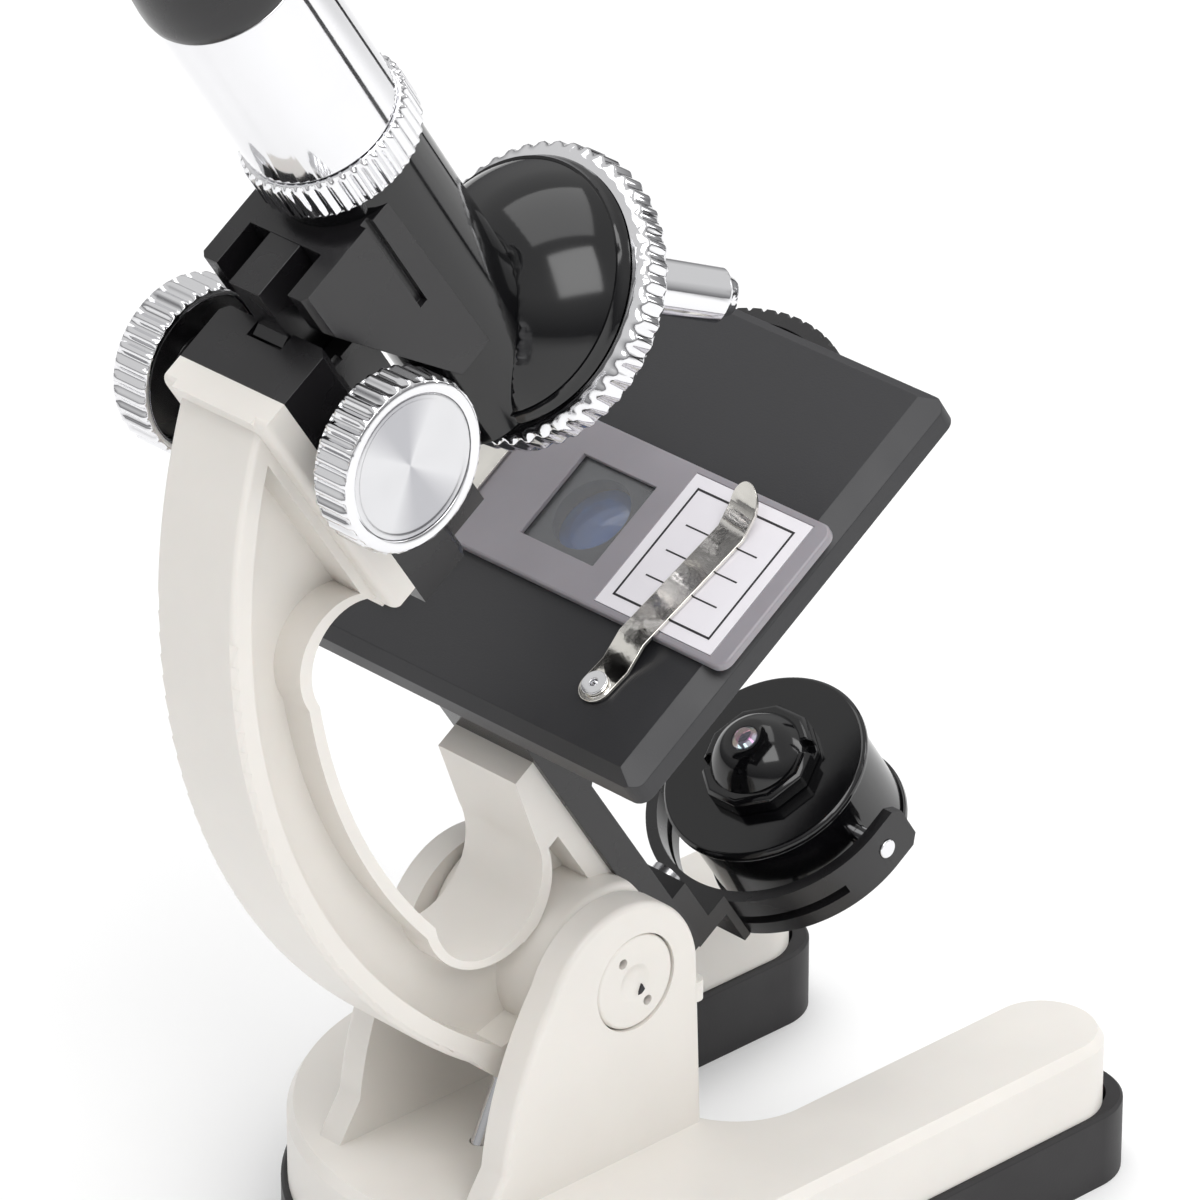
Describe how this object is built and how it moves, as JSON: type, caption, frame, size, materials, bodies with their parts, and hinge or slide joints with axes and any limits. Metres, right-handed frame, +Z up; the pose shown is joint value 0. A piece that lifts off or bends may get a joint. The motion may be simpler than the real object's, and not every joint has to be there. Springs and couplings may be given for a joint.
{
  "type": "student microscope",
  "caption": "Small student microscope with a tilting white arm, rack focus, objective turret, square black stage, filter wheel and swivelling lamp on a horseshoe foot.",
  "frame": {"origin": "on the foot's rest face, straight below the arm's pivot, on the line of symmetry", "axes": "+Z up, -Y towards the specimen side where the prongs of the foot point, +Y towards the user, X along the pivot and the focus shaft"},
  "size_m": [0.086, 0.1547, 0.2344],
  "materials": {
    "white_plastic": "satin moulded",
    "black_plastic": "semi-gloss moulded",
    "stage_black": "fine satin",
    "sole_black": "satin moulded",
    "chrome_plate": "polished",
    "steel": "bright",
    "spun_aluminium": "spun, radial sheen",
    "brass": "machined",
    "lens_glass": "coated, polished",
    "amber_gel": "clear tinted",
    "grey_plastic": "frosted",
    "white_card": "coated card",
    "mirror_glass": "silvered",
    "board_green": "lacquered board"
  },
  "bodies": {
    "foot": {"foot_shell": "white_plastic", "sole_tray": "sole_black", "sole_screws": "steel", "ballast_plate": "steel", "pivot_shaft": "steel", "pivot_caps": "white_plastic", "friction_washers": "steel", "stop_rod": "chrome_plate"},
    "arm": {"arm": "white_plastic", "rack_housing": "black_plastic", "housing_screws": "steel", "stage_bracket": "black_plastic", "bracket_screws": "steel", "stage_screws": "steel", "stage_plate": "stage_black", "condenser_lens": "lens_glass", "lens_ring": "black_plastic", "clip_rivets": "chrome_plate", "filter_screw": "steel", "yoke": "black_plastic", "trunnion_pins": "chrome_plate"},
    "slide": {"specimen_slide": "grey_plastic", "slide_window": "lens_glass", "slide_label": "white_card"},
    "filter_wheel": {"filter_disc": "black_plastic", "filter_gels": "amber_gel"},
    "focus_knobs": {"focus_shaft": "steel", "pinion": "brass", "knob_drums": "chrome_plate", "knob_hubs": "black_plastic", "knob_faces": "spun_aluminium"},
    "tube_carriage": {"carriage": "black_plastic", "rack": "black_plastic", "rack_screws": "steel", "body_tube": "black_plastic", "nose_dome": "black_plastic", "collar_ring": "chrome_plate"},
    "eyepiece": {"eyepiece_tube": "chrome_plate", "eyecup": "black_plastic", "eye_lens": "lens_glass", "field_lens": "lens_glass"},
    "turret": {"turret_ring": "chrome_plate", "turret_plate": "chrome_plate", "turret_screw": "steel", "objective_low": "chrome_plate", "objective_mid": "chrome_plate", "objective_high": "chrome_plate", "objective_lenses": "lens_glass"},
    "clip_left": {"stage_clip_left": "chrome_plate"},
    "clip_right": {"stage_clip_right": "chrome_plate"},
    "lamp": {"lamp_drum": "black_plastic", "lamp_flange": "black_plastic", "lamp_bezel": "black_plastic", "lamp_lens": "lens_glass", "lamp_bulb": "lens_glass", "lamp_board": "board_green", "contact_spring": "steel", "coin_cell": "steel", "lamp_mirror": "mirror_glass", "mirror_rim": "black_plastic"}
  },
  "joints": [
    {"name": "arm_tilt", "type": "hinge", "parent": "foot", "child": "arm", "pos_m": [0, 0, 0.052], "axis": [1, 0, 0], "range_deg": [0, 33.2]},
    {"name": "focus_turn", "type": "hinge", "parent": "arm", "child": "focus_knobs", "pos_m": [0, 0.04672, 0.15133], "axis": [1, 0, 0], "range_deg": [-143.5, 161.5]},
    {"name": "tube_focus", "type": "slide", "parent": "arm", "child": "tube_carriage", "axis": [0, 0.5476, 0.8368], "range_m": [-0.009, 0.008]},
    {"name": "eyepiece_draw", "type": "slide", "parent": "tube_carriage", "child": "eyepiece", "axis": [0, 0.5476, 0.8368], "range_m": [0, 0.012]},
    {"name": "turret_turn", "type": "hinge", "parent": "tube_carriage", "child": "turret", "pos_m": [0, 0.00536, 0.15614], "axis": [0, 0.8453, 0.5344], "continuous": true},
    {"name": "filter_turn", "type": "hinge", "parent": "arm", "child": "filter_wheel", "pos_m": [0, -0.02974, 0.1207], "axis": [0, 0.5476, 0.8368], "continuous": true},
    {"name": "clip_left_turn", "type": "hinge", "parent": "arm", "child": "clip_left", "pos_m": [-0.0212, 0.01095, 0.10471], "axis": [0, 0.5476, 0.8368], "range_deg": [-35, 25]},
    {"name": "clip_right_turn", "type": "hinge", "parent": "arm", "child": "clip_right", "pos_m": [0.0212, 0.01095, 0.10471], "axis": [0, 0.5476, 0.8368], "range_deg": [-25, 35]},
    {"name": "slide_shift", "type": "slide", "parent": "arm", "child": "slide", "axis": [1, 0, 0], "range_m": [-0.008, 0.008]},
    {"name": "lamp_swivel", "type": "hinge", "parent": "arm", "child": "lamp", "pos_m": [0, -0.04755, 0.05695], "axis": [1, 0, 0], "range_deg": [-100, 180]}
  ],
  "couplings": [
    {"joint": "focus_turn", "follows": "tube_focus", "rad_per_m": -312.5}
  ]
}
